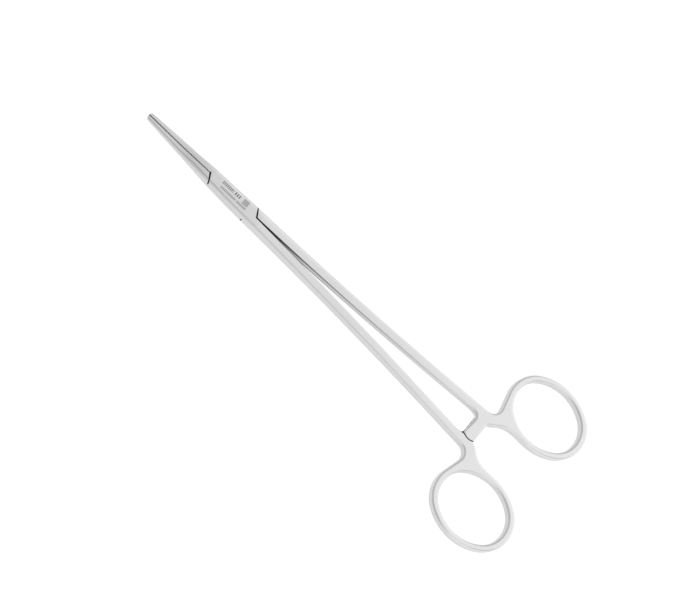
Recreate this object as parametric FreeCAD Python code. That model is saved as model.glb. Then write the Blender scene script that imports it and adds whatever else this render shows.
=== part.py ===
import FreeCAD, Part
import math
import os

from FreeCAD import Vector

# Box-lock hemostat forceps, 18 cm pattern, in millimetres.
# The pivot axis is the origin's Z axis, X runs from the pivot towards the finger rings, and the
# underside of the box lies on Z = 0. The jaws are closed and the ratchet is on its last notch.
# "Upper" means the half towards +Z. The male arm's shank and ring lie at +Y, the female arm's at -Y.

# Overall
OVERALL_LENGTH = 180.0
TIP_REACH = 37.6  # pivot axis to the jaw tip

# Box lock
BOX_THICKNESS = 4.6
BOX_FRONT_WIDTH = 5.9  # across both jaws' roots, where the jaws begin
BOX_REAR_WIDTH = 7.04  # across both shanks' roots, where the shanks begin
BOX_FRONT = 9.0  # pivot axis to the start of the jaw's taper
BOX_REAR = 12.0  # pivot axis to the start of the shanks
BOX_ROUNDING = 0.70  # radius of the long edges as a share of half the thickness
SLOT_HEIGHT = 1.7  # the mortise through the female arm
SLOT_RADIUS = 8.15  # round ends of the mortise, about the pivot axis
NECK_SIDE_CLEARANCE = 0.35  # round ends of the male neck inside the mortise
NECK_FACE_CLEARANCE = 0.05  # neck to each cheek
CHEEK_BEND_REACH = 10.25  # pivot axis to where a cheek's slanting edge meets the middle line
CHEEK_END_REACH = 8.15  # pivot axis to where the same edge reaches the side of the box
CHEEK_RISE = 0.3  # the front edge meets the jaw line this far off it
SHOULDER_GAP = 0.34  # cheek edge to the male arm's shoulder

# Pivot pin, peened flush into countersinks
PIN_RADIUS = 1.1
PIN_RUNNING_CLEARANCE = 0.03
PIN_HEAD_RADIUS = 1.45
PIN_HEAD_DEPTH = 0.35

# Jaws
JAW_TIP_WIDTH = 2.76  # across both closed jaws, before the nose is rounded
JAW_TIP_THICKNESS = 1.64
JAW_ROUNDING = 0.97  # radius of the jaws' long edges as a share of half the thickness
JAW_ROUNDING_RUN = 0.65  # share of the jaw's length from the tip that keeps this rounding
JAW_SET_ANGLE = 1.07  # the closed jaws lean this many degrees towards the male shank's side
NOSE_RADIUS = 1.05  # in plan
NOSE_SIDE_RADIUS = 0.55  # seen from the side
SERRATION_PITCH = 0.7
SERRATION_DEPTH = 0.36
SERRATION_CREST = 0.14  # flat width of each crest, which leaves the opposite valley open
SERRATION_ROOT_RELIEF = 2.4  # plain length between the box and the first tooth, past BOX_FRONT
MATING_GAP = 0.08  # between the closed jaws, measured across the arms

# Shanks
SHANK_ROOT_GAP = 0.24
SHANK_END_GAP = 8.7
SHANK_BOW = 0.575  # share of the spread that comes from the outward curve
SHANK_ROOT_WIDTH = 3.40
SHANK_END_WIDTH = 2.9
SHANK_INNER_ROUNDING = 0.15  # radius of the inner edges at the box
SHANK_TAPER_LENGTH = 42.0  # the box thickness runs out over this length
HANDLE_LEAD = 3.6  # the flat handle begins this far ahead of the ratchet tongue

# Handles
HANDLE_THICKNESS = 3.5
HANDLE_EDGE_RADIUS = 1.0
RING_OPENING_LENGTH = 26.3
RING_OPENING_WIDTH = 21.1
RING_END_CURVE = 9.2  # radius of the opening's two tighter ends
RING_END_WIDTH = 2.55
RING_SIDE_WIDTH = 2.1
RING_INNER_OFFSET = 8.05  # middle line to the ring's near side
WEB_FILLET = 3.3  # between the shank's outer side and the ring
WEB_RISE = 0.2  # the web's inner side leaves the shank's line by this much at the tongue
WEB_DROP = 1.0  # and lies this far inside the ring's near side past the tongue
RING_LEAVE_ANGLE = 195.0  # where the web's side leaves the ring, round from the far end

# Ratchet
TONGUE_WIDTH = 4.5
TONGUE_REACH = 4.4  # past the middle line
TONGUE_SETBACK = 0.55  # tongue's centre ahead of the ring's near end
TONGUE_END_RADIUS = 4.2
TONGUE_ROOT_RADIUS = 4.0  # towards the ring
TONGUE_NEAR_RADIUS = 2.0  # towards the box
TONGUE_ROOTING = 1.3  # how far the tongue's upper layer runs on inside the handle
TONGUE_FACE_GAP = 0.1  # between the crests of the two tongues
TONGUE_END_CLEARANCE = 0.5
TOOTH_PITCH = 1.8
TOOTH_DEPTH = 0.5
TOOTH_LAND = 0.15  # flat crest
TOOTH_STEEP_RUN = 0.14  # the catching side leans this much over its depth
TOOTH_COUNT = 4

# Lofts: no two sections of one loft are further apart than these
JAW_SECTION_STEP = 5.6
BOX_SECTION_STEP = 10.5
SHANK_SECTION_STEP = 19.0

# How the jaw's thickness grows from tip to box: a steady share, and the rest as one soft step
STEADY_SHARE = 0.62
SWELL_START = 0.45
SWELL_LENGTH = 0.5

# Derived places
MIDDLE = BOX_THICKNESS / 2
CUT_REACH = 20.0  # a cutting block runs this far past what it cuts
JAW_LENGTH = TIP_REACH - BOX_FRONT
SERRATION_START = BOX_FRONT + SERRATION_ROOT_RELIEF
JAW_LINE_END = SERRATION_START - SERRATION_PITCH / 2
RING_CENTRE_X = OVERALL_LENGTH - TIP_REACH - RING_END_WIDTH - RING_OPENING_LENGTH / 2
RING_CENTRE_Y = RING_INNER_OFFSET + RING_SIDE_WIDTH + RING_OPENING_WIDTH / 2
RING_HALF_LENGTH = RING_OPENING_LENGTH / 2 + RING_END_WIDTH
RING_HALF_WIDTH = RING_OPENING_WIDTH / 2 + RING_SIDE_WIDTH
TONGUE_X = RING_CENTRE_X - RING_HALF_LENGTH - TONGUE_SETBACK
TONGUE_START = TONGUE_X - TONGUE_WIDTH / 2
TONGUE_END = TONGUE_X + TONGUE_WIDTH / 2
SHANK_END = TONGUE_START - HANDLE_LEAD
SHANK_LENGTH = SHANK_END - BOX_REAR
SHANK_END_ROUNDING = HANDLE_EDGE_RADIUS / (HANDLE_THICKNESS / 2)
INNER_SLOPE = (SHANK_END_GAP - SHANK_ROOT_GAP) / 2 * (1 + SHANK_BOW) / SHANK_LENGTH
OUTER_SLOPE = INNER_SLOPE - (SHANK_ROOT_WIDTH - SHANK_END_WIDTH) / SHANK_LENGTH
WEB_Y = RING_INNER_OFFSET - WEB_DROP
WEB_ROOT_Y = SHANK_END_GAP / 2 + WEB_RISE
EDGE_BREAK = HANDLE_EDGE_RADIUS * (2 - math.sqrt(2))  # 45 degree break tangent to the edge's round


def smooth_step(value):
    """Rises from 0 to 1 with level ends while value goes from 0 to 1."""
    share = min(max(value, 0.0), 1.0)
    return share * share * (3 - 2 * share)


def mating_y(x):
    """Middle line between the two arms: straight at the shanks, leaning along the jaws."""
    return max(-x, 0.0) * math.tan(math.radians(JAW_SET_ANGLE))


def half_width(x):
    """Half the width of the closed jaws and box: one gentle curve through tip, jaw root and box rear."""
    tip_slope = (BOX_FRONT_WIDTH - JAW_TIP_WIDTH) / 2 / JAW_LENGTH
    box_slope = (BOX_REAR_WIDTH - BOX_FRONT_WIDTH) / 2 / (BOX_FRONT + BOX_REAR)
    bend = (box_slope - tip_slope) / (TIP_REACH + BOX_REAR)
    from_tip = x + TIP_REACH
    return JAW_TIP_WIDTH / 2 + tip_slope * from_tip + bend * from_tip * (x + BOX_FRONT)


def half_thickness(x):
    """Half the thickness: thin at the tip, level at the box, then down to the handles' thickness."""
    tip = JAW_TIP_THICKNESS / 2
    box = BOX_THICKNESS / 2
    shank = HANDLE_THICKNESS / 2
    if x > BOX_REAR:
        left = max(1 - (x - BOX_REAR) / SHANK_TAPER_LENGTH, 0.0)
        return shank + (box - shank) * left * left
    along = min((x + TIP_REACH) / JAW_LENGTH, 1.0)
    swell = smooth_step((along - SWELL_START) / SWELL_LENGTH)
    return tip + (box - tip) * (STEADY_SHARE * along + (1 - STEADY_SHARE) * swell)


def edge_radius(x):
    """Radius of the long outer edges at x."""
    if x > BOX_REAR:
        share = BOX_ROUNDING + (SHANK_END_ROUNDING - BOX_ROUNDING) * (x - BOX_REAR) / SHANK_LENGTH
    else:
        along = ((x + TIP_REACH) / JAW_LENGTH - JAW_ROUNDING_RUN) / (1 - JAW_ROUNDING_RUN)
        share = JAW_ROUNDING + (BOX_ROUNDING - JAW_ROUNDING) * smooth_step(along)
    return share * half_thickness(x)


def section(x, inner, outer, inner_radius, outer_radius):
    """Closed wire across the arm at x: a bar from inner to outer with rounded long edges."""
    half = half_thickness(x)
    top = MIDDLE + half
    bottom = MIDDLE - half
    corners = (
        (inner + inner_radius, top - inner_radius, inner_radius, 180),
        (outer - outer_radius, top - outer_radius, outer_radius, 90),
        (outer - outer_radius, bottom + outer_radius, outer_radius, 0),
        (inner + inner_radius, bottom + inner_radius, inner_radius, -90),
    )
    edges = []
    last = None
    first = None
    for centre_y, centre_z, radius, start in corners:
        points = []
        for turn in (0, 45, 90):
            angle = math.radians(start - turn)
            points.append(Vector(x, centre_y + radius * math.cos(angle), centre_z + radius * math.sin(angle)))
        if last is None:
            first = points[0]
        else:
            edges.append(Part.LineSegment(last, points[0]).toShape())
        edges.append(Part.Arc(*points).toShape())
        last = points[2]
    edges.append(Part.LineSegment(last, first).toShape())
    return Part.Wire(edges)


def prism(points, low, high):
    """Straight-sided block over a plan outline."""
    corners = [Vector(point.x, point.y, low) for point in points]
    outline = Part.makePolygon(corners + corners[:1])
    return Part.Face(outline).extrude(Vector(0, 0, high - low))


def between(start, end, step):
    """Evenly spaced values from start to end, no further apart than step."""
    count = max(int(math.ceil((end - start) / step)), 1)
    return [start + (end - start) * index / count for index in range(count + 1)]


def closed_span(start, end, step):
    """Loft through sections of the closed jaws and box between two places."""
    sections = []
    for x in between(start, end, step):
        middle = mating_y(x)
        half = half_width(x)
        radius = edge_radius(x)
        sections.append(section(x, middle - half, middle + half, radius, radius))
    return Part.makeLoft(sections, True, False)


def closed_body():
    """Outer form of both jaws and the box together, as they are ground when closed."""
    jaws = closed_span(-TIP_REACH, -BOX_FRONT, JAW_SECTION_STEP).common(nose())
    return jaws.fuse(closed_span(-BOX_FRONT, BOX_REAR, BOX_SECTION_STEP))


def nose():
    """Everything behind a rounded nose, in plan and from the side."""
    middle = mating_y(-TIP_REACH)
    wide = JAW_TIP_WIDTH / 2
    deep = JAW_TIP_THICKNESS / 2
    length = TIP_REACH + BOX_REAR
    plan = Part.makeBox(length, 2 * wide, BOX_THICKNESS, Vector(-TIP_REACH, middle - wide, 0))
    plan = plan.makeFillet(NOSE_RADIUS, upright_edges(plan, -TIP_REACH))
    side = Part.makeBox(length, 2 * CUT_REACH, 2 * deep, Vector(-TIP_REACH, -CUT_REACH, MIDDLE - deep))
    side = side.makeFillet(NOSE_SIDE_RADIUS, cross_edges(side, -TIP_REACH))
    behind = Part.makeBox(
        length - NOSE_RADIUS, 2 * CUT_REACH, 2 * CUT_REACH,
        Vector(NOSE_RADIUS - TIP_REACH, -CUT_REACH, MIDDLE - CUT_REACH),
    )
    return plan.fuse(behind).common(side.fuse(behind))


def front_edges(shape, x):
    """Edges that lie wholly in the plane across the arms at x."""
    return [e for e in shape.Edges if abs(e.BoundBox.XMax - x) < 1e-6]


def upright_edges(shape, x):
    """Edges at x that run along Z."""
    return [e for e in front_edges(shape, x) if e.BoundBox.ZLength > e.BoundBox.YLength]


def cross_edges(shape, x):
    """Edges at x that run along Y."""
    return [e for e in front_edges(shape, x) if e.BoundBox.YLength > e.BoundBox.ZLength]


def tooth_line(shift, crest_side):
    """Serrated mating line from the tip to the box, moved sideways by shift.

    The line swings from side -1 to side 1 and back. The arm's own crests stand at crest_side
    and are cut flat; its valleys, at the other side, stay sharp.
    """
    count = int((TIP_REACH - SERRATION_START) / SERRATION_PITCH)
    lean = math.radians(JAW_SET_ANGLE)
    half_crest = SERRATION_CREST / 2
    crest_height = SERRATION_DEPTH / 2 - half_crest * SERRATION_DEPTH / (SERRATION_PITCH / 2)
    points = [Vector(-TIP_REACH - CUT_REACH, mating_y(-TIP_REACH) + shift, 0)]
    for index in range(2 * count, -1, -1):
        along = SERRATION_START + index * SERRATION_PITCH / 2
        side = 1 if index % 2 else -1
        if side == crest_side:
            places = [(along + half_crest, side * crest_height), (along - half_crest, side * crest_height)]
        else:
            places = [(along, side * SERRATION_DEPTH / 2)]
        for place, height in places:
            across = height + shift
            points.append(Vector(
                -place * math.cos(lean) + across * math.sin(lean),
                place * math.sin(lean) + across * math.cos(lean), 0,
            ))
    points.append(Vector(-JAW_LINE_END, mating_y(-JAW_LINE_END) + shift, 0))
    return points


def front_bend_y(gap):
    """The jaw line's height where it turns into the cheeks' front edge, that edge being moved by gap."""
    share = 1 - gap / (JAW_LINE_END - CHEEK_BEND_REACH)
    return mating_y(-CHEEK_BEND_REACH) + CHEEK_RISE * share


def cheek_edge(bend_y, gap, end):
    """Slanting edge of the cheeks, from its bend to beyond the side of the box; end is -1 for the front."""
    bend = Vector(end * (CHEEK_BEND_REACH + gap), bend_y, 0)
    side = Vector(end * (CHEEK_END_REACH + gap), end * half_width(end * CHEEK_END_REACH), 0)
    return [bend, side + (side - bend)]


def female_blank(body):
    """The closed form trimmed to the female arm, before the mortise."""
    half_gap = MATING_GAP / 2
    front = cheek_edge(front_bend_y(0.0) + half_gap, 0.0, -1)
    rear = cheek_edge(-SHANK_ROOT_GAP / 2, 0.0, 1)
    past = BOX_REAR + CUT_REACH
    outline = [Vector(-TIP_REACH - CUT_REACH, CUT_REACH, 0)] + tooth_line(half_gap, -1) + front
    outline += [Vector(front[1].x, -CUT_REACH, 0), Vector(past, -CUT_REACH, 0)]
    outline += [Vector(past, -SHANK_ROOT_GAP / 2, 0)] + rear + [Vector(rear[1].x, CUT_REACH, 0)]
    return body.common(prism(outline, -1.0, BOX_THICKNESS + 1.0))


def male_side(body):
    """The closed form outside the female arm's cheeks: male jaw root and male shank root."""
    half_gap = MATING_GAP / 2
    front = cheek_edge(front_bend_y(SHOULDER_GAP) - half_gap, SHOULDER_GAP, -1)
    rear = cheek_edge(SHANK_ROOT_GAP / 2, SHOULDER_GAP, 1)
    past = BOX_REAR + CUT_REACH
    jaw = [Vector(-TIP_REACH - CUT_REACH, -CUT_REACH, 0)] + tooth_line(-half_gap, 1) + front
    jaw += [Vector(front[1].x, -CUT_REACH, 0)]
    root = list(reversed(rear)) + [Vector(past, SHANK_ROOT_GAP / 2, 0), Vector(past, CUT_REACH, 0)]
    root += [Vector(rear[1].x, CUT_REACH, 0)]
    low = -1.0
    high = BOX_THICKNESS + 1.0
    return body.common(prism(jaw, low, high)), body.common(prism(root, low, high))


def neck_plan(radius, gap, low, high):
    """Plan of the crossing: a disc about the pivot, opened towards the male jaw and the male shank."""
    front = CHEEK_BEND_REACH + 2 * SHOULDER_GAP
    disc = Part.makeCylinder(radius, high - low, Vector(0, 0, low))
    jaw_side = prism([
        Vector(-front, mating_y(-front) - gap, 0), Vector(-front, -CUT_REACH, 0),
        Vector(0, -CUT_REACH, 0), Vector(0, -gap, 0),
    ], low, high)
    shank_side = prism([
        Vector(front, gap, 0), Vector(front, CUT_REACH, 0),
        Vector(0, CUT_REACH, 0), Vector(0, gap, 0),
    ], low, high)
    return disc.fuse([jaw_side, shank_side])


def pin_solid(radius_gap):
    """The pivot pin: a plain shaft whose ends are spread into countersinks."""
    radius = PIN_RADIUS + radius_gap
    head = PIN_HEAD_RADIUS + radius_gap
    profile = [
        Vector(0, 0, 0), Vector(head, 0, 0), Vector(radius, 0, PIN_HEAD_DEPTH),
        Vector(radius, 0, BOX_THICKNESS - PIN_HEAD_DEPTH), Vector(head, 0, BOX_THICKNESS),
        Vector(0, 0, BOX_THICKNESS),
    ]
    face = Part.Face(Part.makePolygon(profile + profile[:1]))
    return face.revolve(Vector(0, 0, 0), Vector(0, 0, 1), 360)


def shank():
    """The male shank at +Y, from the box to the handle."""
    sections = []
    for x in between(BOX_REAR, SHANK_END, SHANK_SECTION_STEP):
        along = (x - BOX_REAR) / SHANK_LENGTH
        spread = (1 - SHANK_BOW) * along + SHANK_BOW * along * along
        inner = (SHANK_ROOT_GAP + (SHANK_END_GAP - SHANK_ROOT_GAP) * spread) / 2
        width = SHANK_ROOT_WIDTH + (SHANK_END_WIDTH - SHANK_ROOT_WIDTH) * along
        inner_radius = SHANK_INNER_ROUNDING + (HANDLE_EDGE_RADIUS - SHANK_INNER_ROUNDING) * along
        sections.append(section(x, inner, inner + width, inner_radius, edge_radius(x)))
    return Part.makeLoft(sections, True, False)


class Oval:
    """Oval of four tangent arcs about the ring's centre: two tight ends and two flatter sides."""

    def __init__(self, half_length, half_width, end_radius, z):
        self.z = z
        self.end_radius = end_radius
        self.end_shift = half_length - end_radius
        flatness = self.end_shift ** 2 + half_width ** 2 - end_radius ** 2
        self.side_radius = flatness / (2 * (half_width - end_radius))
        self.side_shift = self.side_radius - half_width
        self.turn = math.degrees(math.atan2(self.side_shift, self.end_shift))

    def arc(self, shift_x, shift_y, radius, start, stop):
        """Arc between two angles in degrees, about a point shifted from the ring's centre."""
        centre = Vector(RING_CENTRE_X + shift_x, RING_CENTRE_Y + shift_y, self.z)
        circle = Part.Circle(centre, Vector(0, 0, 1), radius)
        return circle.toShape(math.radians(start), math.radians(stop))

    def arcs(self, start, stop):
        """The oval from an angle on its inner side, round the far end, to an angle on the near end."""
        return [
            self.arc(0, self.side_shift, self.side_radius, start, -self.turn),
            self.arc(self.end_shift, 0, self.end_radius, -self.turn, self.turn),
            self.arc(0, -self.side_shift, self.side_radius, self.turn, 180 - self.turn),
            self.arc(-self.end_shift, 0, self.end_radius, 180 - self.turn, stop),
        ]


def web_corner(shank_point, ring_point, leave):
    """Outer side of the web: shank line, fillet and the line that leaves the ring at an angle."""
    ring_heading = Vector(math.sin(leave), -math.cos(leave), 0)
    shank_heading = Vector(1, OUTER_SLOPE, 0).normalize()
    across = shank_heading.x * ring_heading.y - shank_heading.y * ring_heading.x
    away = ring_point - shank_point
    run = (away.x * ring_heading.y - away.y * ring_heading.x) / across
    corner = shank_point + shank_heading * run
    setback = WEB_FILLET * math.tan(shank_heading.getAngle(ring_heading) / 2)
    arc_start = corner - shank_heading * setback
    arc_end = corner + ring_heading * setback
    arc_centre = arc_start + Vector(-shank_heading.y, shank_heading.x, 0) * WEB_FILLET
    arc_middle = arc_centre + (corner - arc_centre).normalize() * WEB_FILLET
    return [
        Part.LineSegment(shank_point, arc_start).toShape(),
        Part.Arc(arc_start, arc_middle, arc_end).toShape(),
        Part.LineSegment(arc_end, ring_point).toShape(),
    ]


def handle_plate():
    """Finger ring and web as one flat forging with broken edges, for the male arm at +Y."""
    low = MIDDLE - HANDLE_THICKNESS / 2
    outside = Oval(RING_HALF_LENGTH, RING_HALF_WIDTH, RING_END_CURVE + RING_SIDE_WIDTH, low)
    opening = Oval(RING_OPENING_LENGTH / 2, RING_OPENING_WIDTH / 2, RING_END_CURVE, low)
    shank_inside = Vector(SHANK_END, SHANK_END_GAP / 2, low)
    shank_outside = shank_inside + Vector(0, SHANK_END_WIDTH, 0)
    ring = outside.arcs(-90, RING_LEAVE_ANGLE)

    underside = Part.BSplineCurve()
    underside.interpolate(
        Points=[
            shank_inside,
            Vector(TONGUE_X, WEB_ROOT_Y + INNER_SLOPE * (TONGUE_X - SHANK_END), low),
            Vector(TONGUE_END + TONGUE_ROOT_RADIUS, WEB_Y, low),
            Vector(RING_CENTRE_X, RING_INNER_OFFSET, low),
        ],
        InitialTangent=Vector(1, INNER_SLOPE, 0), FinalTangent=Vector(1, 0, 0),
    )
    edges = ring + [underside.toShape(), Part.LineSegment(shank_inside, shank_outside).toShape()]
    edges += web_corner(shank_outside, ring[-1].Vertexes[-1].Point, math.radians(RING_LEAVE_ANGLE))
    outline = Part.Wire(Part.__sortEdges__(edges))
    plate = Part.Face(outline).extrude(Vector(0, 0, HANDLE_THICKNESS))
    hole = Part.Wire(opening.arcs(opening.turn - 180, 180 + opening.turn))
    plate = plate.cut(Part.Face(hole).extrude(Vector(0, 0, HANDLE_THICKNESS)))
    flat = [e for e in plate.Edges if e.BoundBox.ZLength < 1e-6]
    return plate.makeChamfer(EDGE_BREAK, [e for e in flat if e.BoundBox.XMax > SHANK_END + 1e-3])


def quarter_arc(start, end, bulge):
    """Quarter circle between two points, bulging towards a third."""
    middle = bulge + (start + end - bulge * 2) * (1 - math.sqrt(0.5))
    return Part.Arc(start, middle, end).toShape()


def tongue_plan():
    """Plan of the male arm's ratchet tongue, which points to -Y, with flared roots and a rounded end."""
    sagitta = TONGUE_END_RADIUS - math.sqrt(TONGUE_END_RADIUS ** 2 - (TONGUE_WIDTH / 2) ** 2)
    near_root = Vector(TONGUE_START - TONGUE_NEAR_RADIUS, WEB_ROOT_Y, 0)
    near_side = Vector(TONGUE_START, WEB_ROOT_Y - TONGUE_NEAR_RADIUS, 0)
    near_end = Vector(TONGUE_START, sagitta - TONGUE_REACH, 0)
    far_end = Vector(TONGUE_END, sagitta - TONGUE_REACH, 0)
    far_side = Vector(TONGUE_END, WEB_Y - TONGUE_ROOT_RADIUS, 0)
    far_root = Vector(TONGUE_END + TONGUE_ROOT_RADIUS, WEB_Y, 0)
    far_inside = far_root + Vector(0, TONGUE_ROOTING, 0)
    near_inside = near_root + Vector(0, TONGUE_ROOTING, 0)
    return Part.Face(Part.Wire([
        quarter_arc(near_root, near_side, Vector(near_side.x, near_root.y, 0)),
        Part.LineSegment(near_side, near_end).toShape(),
        Part.Arc(near_end, Vector(TONGUE_X, -TONGUE_REACH, 0), far_end).toShape(),
        Part.LineSegment(far_end, far_side).toShape(),
        quarter_arc(far_side, far_root, Vector(far_side.x, far_root.y, 0)),
        Part.LineSegment(far_root, far_inside).toShape(),
        Part.LineSegment(far_inside, near_inside).toShape(),
        Part.LineSegment(near_inside, near_root).toShape(),
    ]))


def tongue():
    """The male arm's ratchet tongue: the upper half of the bar, with teeth on its lower face."""
    low = MIDDLE + TONGUE_FACE_GAP / 2
    bar = tongue_plan().extrude(Vector(0, 0, MIDDLE + HANDLE_THICKNESS / 2 - low))
    bar.translate(Vector(0, 0, low))
    first = -TOOTH_PITCH * TOOTH_COUNT / 2
    return bar.cut([tooth_gap(first + index * TOOTH_PITCH, low) for index in range(TOOTH_COUNT)])


def tooth_gap(catch_y, low):
    """One sawtooth space, cut upwards from the crest plane; its steep side holds the arms shut."""
    x = TONGUE_START - CUT_REACH
    outline = [
        Vector(x, catch_y, low),
        Vector(x, catch_y + TOOTH_STEEP_RUN, low + TOOTH_DEPTH),
        Vector(x, catch_y + TOOTH_PITCH - TOOTH_LAND, low),
    ]
    face = Part.Face(Part.makePolygon(outline + outline[:1]))
    return face.extrude(Vector(TONGUE_WIDTH + 2 * CUT_REACH, 0, 0))


def tongue_recess():
    """Room in the male arm's lower half for the end of the female arm's tongue."""
    width = TONGUE_WIDTH + 2 * TONGUE_END_CLEARANCE
    radius = TONGUE_END_RADIUS + TONGUE_END_CLEARANCE
    end_y = TONGUE_REACH + TONGUE_END_CLEARANCE - radius
    height = MIDDLE + TONGUE_FACE_GAP / 2
    end = Part.makeCylinder(radius, height, Vector(TONGUE_X, end_y, 0))
    block = Part.makeBox(width, CUT_REACH, height, Vector(TONGUE_X - width / 2, end_y, 0))
    open_side = Part.makeBox(width, CUT_REACH, height, Vector(TONGUE_X - width / 2, end_y - CUT_REACH, 0))
    return end.common(block).fuse(open_side)


def handle():
    """Male shank, web, ring and tongue, in one piece at +Y."""
    plate = handle_plate().cut(tongue_recess())
    return shank().fuse([plate, tongue()]).removeSplitter()


def build():
    """The three pieces, jaws closed."""
    body = closed_body()
    male_handle = handle()
    female_handle = male_handle.copy()
    female_handle.rotate(Vector(0, 0, MIDDLE), Vector(1, 0, 0), 180)
    pin = pin_solid(0.0)

    slot_low = MIDDLE - SLOT_HEIGHT / 2
    slot_high = MIDDLE + SLOT_HEIGHT / 2
    mortise = neck_plan(SLOT_RADIUS, -MATING_GAP / 2, slot_low, slot_high)
    female = female_blank(body).cut([mortise, pin]).fuse(female_handle)

    neck_low = slot_low + NECK_FACE_CLEARANCE
    neck_high = slot_high - NECK_FACE_CLEARANCE
    tenon = neck_plan(SLOT_RADIUS - NECK_SIDE_CLEARANCE, MATING_GAP / 2, neck_low, neck_high)
    jaw, shank_root = male_side(body)
    neck = body.common(tenon)
    bore = Part.makeCylinder(PIN_RADIUS + PIN_RUNNING_CLEARANCE, BOX_THICKNESS)
    male = jaw.fuse([neck, shank_root, male_handle]).cut(bore)
    return {"female_arm": female, "male_arm": male, "pivot_pin": pin}


os.makedirs("parts", exist_ok=True)
for name, shape in build().items():
    solid = shape.removeSplitter().Solids[0]
    print(name, "valid", solid.isValid(), "solids", len(shape.Solids), "volume", round(solid.Volume, 2))
    solid.exportStep("parts/" + name + ".step")
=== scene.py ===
"""Looks and studio for box-lock hemostat forceps: two forged satin-steel arms on one peened pin."""

import logging
import math
from dataclasses import dataclass
from enum import Enum, IntEnum
from typing import Any, Sequence

import bmesh
import bpy
import numpy as np
from mathutils import Matrix, Vector
from mathutils.geometry import tessellate_polygon


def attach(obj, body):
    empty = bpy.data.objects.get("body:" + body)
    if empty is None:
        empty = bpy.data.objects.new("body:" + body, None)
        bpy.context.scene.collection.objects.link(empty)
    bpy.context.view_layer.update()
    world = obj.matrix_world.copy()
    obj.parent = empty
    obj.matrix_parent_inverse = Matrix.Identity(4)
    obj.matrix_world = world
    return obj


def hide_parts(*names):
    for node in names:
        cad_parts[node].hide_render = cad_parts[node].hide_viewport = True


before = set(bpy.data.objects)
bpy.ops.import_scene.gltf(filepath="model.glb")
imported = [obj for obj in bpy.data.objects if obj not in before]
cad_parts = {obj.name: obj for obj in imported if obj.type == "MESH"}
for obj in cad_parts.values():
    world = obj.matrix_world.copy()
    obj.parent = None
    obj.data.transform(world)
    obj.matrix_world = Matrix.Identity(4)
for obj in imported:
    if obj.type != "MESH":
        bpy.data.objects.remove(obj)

LOG = logging.getLogger("forceps")
MM = 0.001
# Points closer together than this, in metres, are one point.
MERGE_DISTANCE = 1e-6
# Edges that turn by more than this many degrees stay sharp.
SHARP_ANGLE = 35.0
# How near the shanks' root seam a point counts as on it, in mm.
SEAM_REACH = 0.002
# Upward share of a normal from which a face is level, and from which a face beside it is shaded as level.
LEVEL, NEARLY_LEVEL = 0.99999, 0.85
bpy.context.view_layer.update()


class Wire:
    """A node socket that takes part in arithmetic: each operator adds one Math node."""

    def __init__(self, graph: "NodeGraph", socket: bpy.types.NodeSocket) -> None:
        """Wraps one output socket of a graph."""
        self.graph = graph
        self.socket = socket

    def _math(self, operation: str, *values: "Value") -> "Wire":
        """One Math node over the given values."""
        return self.graph.add("ShaderNodeMath", {"operation": operation}, dict(enumerate(values)))

    def __add__(self, other: "Value") -> "Wire":
        """Sum."""
        return self._math("ADD", self, other)

    __radd__ = __add__

    def __sub__(self, other: "Value") -> "Wire":
        """Difference."""
        return self._math("SUBTRACT", self, other)

    def __rsub__(self, other: "Value") -> "Wire":
        """Difference with this value taken away."""
        return self._math("SUBTRACT", other, self)

    def __mul__(self, other: "Value") -> "Wire":
        """Product."""
        return self._math("MULTIPLY", self, other)

    __rmul__ = __mul__

    def __truediv__(self, other: "Value") -> "Wire":
        """Quotient."""
        return self._math("DIVIDE", self, other)

    def __rtruediv__(self, other: "Value") -> "Wire":
        """Quotient with this value below the line."""
        return self._math("DIVIDE", other, self)

    def __mod__(self, other: "Value") -> "Wire":
        """Remainder that never turns negative."""
        return self._math("FLOORED_MODULO", self, other)

    def __rmod__(self, other: "Value") -> "Wire":
        """Remainder of a division by this value."""
        return self._math("FLOORED_MODULO", other, self)

    def __abs__(self) -> "Wire":
        """Size without sign."""
        return self._math("ABSOLUTE", self)

    def above(self, edge: float) -> "Wire":
        """1 where the value is over edge, else 0."""
        return self._math("GREATER_THAN", self, edge)

    def below(self, edge: float) -> "Wire":
        """1 where the value is under edge, else 0."""
        return self._math("LESS_THAN", self, edge)

    def largest(self, other: "Value") -> "Wire":
        """The larger of two values."""
        return self._math("MAXIMUM", self, other)

    def clipped(self) -> "Wire":
        """The value held between 0 and 1."""
        return self.graph.add("ShaderNodeClamp", {}, {"Value": self})


Value = Wire | float | Sequence[float]


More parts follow.
